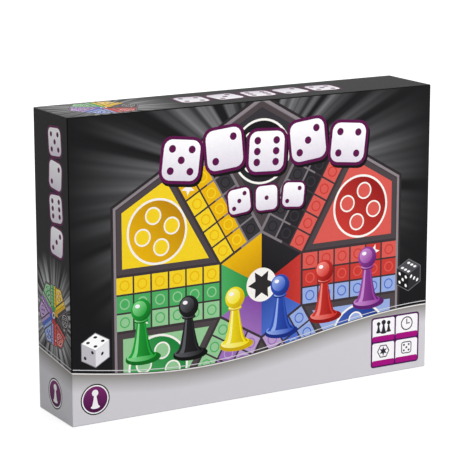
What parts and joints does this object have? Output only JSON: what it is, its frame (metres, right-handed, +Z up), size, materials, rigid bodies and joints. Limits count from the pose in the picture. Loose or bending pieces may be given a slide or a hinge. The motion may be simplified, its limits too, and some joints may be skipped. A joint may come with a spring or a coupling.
{
  "type": "ludo board game box",
  "caption": "Rigid two-part game box with a full-depth lift-off lid, holding a folding game board, turned pawns, dice and folded card inserts.",
  "frame": {"origin": "on the floor under the middle of the closed box, which stands on its long edge", "axes": "+X along the long edge, +Z up, the lid's main panel faces -Y"},
  "size_m": [0.37, 0.068, 0.27],
  "materials": {
    "greyboard": "matt greyboard",
    "stay_paper": "kraft paper",
    "printed_paper": "printed paper, gloss laminated",
    "insert_card": "white-lined card",
    "board_print": "printed paper, satin laminated",
    "backing_paper": "black lining paper",
    "spine_cloth": "book cloth",
    "leaflet_paper": "uncoated white paper",
    "purple_plastic": "moulded polystyrene",
    "green_plastic": "moulded polystyrene",
    "yellow_plastic": "moulded polystyrene",
    "black_plastic": "moulded polystyrene",
    "red_plastic": "moulded polystyrene",
    "blue_plastic": "moulded polystyrene",
    "black_die": "moulded urea, white pips",
    "white_die": "moulded urea, black pips"
  },
  "bodies": {
    "base": {"base_tray": "greyboard", "base_corner_stays": "stay_paper", "base_wrap_back": "printed_paper", "base_wrap_top": "printed_paper", "base_wrap_bottom": "printed_paper", "base_wrap_left": "printed_paper", "base_wrap_right": "printed_paper", "trough_card": "insert_card", "well_shelf": "insert_card", "board_platform": "insert_card"},
    "lid": {"lid_tray": "greyboard", "lid_corner_stays": "stay_paper", "lid_wrap_front": "printed_paper", "lid_wrap_top": "printed_paper", "lid_wrap_bottom": "printed_paper", "lid_wrap_left": "printed_paper", "lid_wrap_right": "printed_paper"},
    "board_rear": {"board_rear_core": "greyboard", "board_rear_print": "board_print", "board_rear_backing": "backing_paper", "board_spine": "spine_cloth"},
    "board_front": {"board_front_core": "greyboard", "board_front_print": "board_print", "board_front_backing": "backing_paper"},
    "leaflet": {"rules_leaflet": "leaflet_paper"},
    "pawns_purple": {"pawn_purple_1": "purple_plastic", "pawn_purple_2": "purple_plastic", "pawn_purple_3": "purple_plastic", "pawn_purple_4": "purple_plastic"},
    "pawns_green": {"pawn_green_1": "green_plastic", "pawn_green_2": "green_plastic", "pawn_green_3": "green_plastic", "pawn_green_4": "green_plastic"},
    "pawns_yellow": {"pawn_yellow_1": "yellow_plastic", "pawn_yellow_2": "yellow_plastic", "pawn_yellow_3": "yellow_plastic", "pawn_yellow_4": "yellow_plastic"},
    "pawns_black": {"pawn_black_1": "black_plastic", "pawn_black_2": "black_plastic", "pawn_black_3": "black_plastic", "pawn_black_4": "black_plastic"},
    "pawns_red": {"pawn_red_1": "red_plastic", "pawn_red_2": "red_plastic", "pawn_red_3": "red_plastic", "pawn_red_4": "red_plastic"},
    "pawns_blue": {"pawn_blue_1": "blue_plastic", "pawn_blue_2": "blue_plastic", "pawn_blue_3": "blue_plastic", "pawn_blue_4": "blue_plastic"},
    "die_black": {"die_black": "black_die"},
    "die_white": {"die_white": "white_die"}
  },
  "joints": [
    {"name": "lid_slide", "type": "slide", "parent": "base", "child": "lid", "axis": [0, -1, 0], "range_m": [0, 0.64]},
    {"name": "board_slide", "type": "slide", "parent": "base", "child": "board_rear", "axis": [0, -1, 0], "range_m": [0, 0.064]},
    {"name": "board_fold", "type": "hinge", "parent": "board_rear", "child": "board_front", "pos_m": [0, -0.0289, 0.2647], "axis": [-1, 0, 0], "range_deg": [0, 180], "deforming": ["board_spine"]},
    {"name": "leaflet_slide", "type": "slide", "parent": "base", "child": "leaflet", "axis": [0, -1, 0], "range_m": [0, 0.0192]},
    {"name": "pawns_purple_lift", "type": "slide", "parent": "base", "child": "pawns_purple", "axis": [0, -1, 0], "range_m": [0, 0.0192]},
    {"name": "pawns_green_lift", "type": "slide", "parent": "base", "child": "pawns_green", "axis": [0, -1, 0], "range_m": [0, 0.0192]},
    {"name": "pawns_yellow_lift", "type": "slide", "parent": "base", "child": "pawns_yellow", "axis": [0, -1, 0], "range_m": [0, 0.0192]},
    {"name": "pawns_black_lift", "type": "slide", "parent": "base", "child": "pawns_black", "axis": [0, -1, 0], "range_m": [0, 0.0192]},
    {"name": "pawns_red_lift", "type": "slide", "parent": "base", "child": "pawns_red", "axis": [0, -1, 0], "range_m": [0, 0.0192]},
    {"name": "pawns_blue_lift", "type": "slide", "parent": "base", "child": "pawns_blue", "axis": [0, -1, 0], "range_m": [0, 0.0192]},
    {"name": "die_black_lift", "type": "slide", "parent": "base", "child": "die_black", "axis": [0, -1, 0], "range_m": [0, 0.0192]},
    {"name": "die_white_lift", "type": "slide", "parent": "base", "child": "die_white", "axis": [0, -1, 0], "range_m": [0, 0.0192]}
  ],
  "couplings": [
    {"joint": "board_slide", "follows": "lid_slide", "ratio": 0.1},
    {"joint": "board_fold", "follows": "lid_slide", "rad_per_m": 4.9087},
    {"joint": "leaflet_slide", "follows": "lid_slide", "ratio": 0.03},
    {"joint": "pawns_purple_lift", "follows": "lid_slide", "ratio": 0.03},
    {"joint": "pawns_green_lift", "follows": "lid_slide", "ratio": 0.03},
    {"joint": "pawns_yellow_lift", "follows": "lid_slide", "ratio": 0.03},
    {"joint": "pawns_black_lift", "follows": "lid_slide", "ratio": 0.03},
    {"joint": "pawns_red_lift", "follows": "lid_slide", "ratio": 0.03},
    {"joint": "pawns_blue_lift", "follows": "lid_slide", "ratio": 0.03},
    {"joint": "die_black_lift", "follows": "lid_slide", "ratio": 0.03},
    {"joint": "die_white_lift", "follows": "lid_slide", "ratio": 0.03}
  ]
}
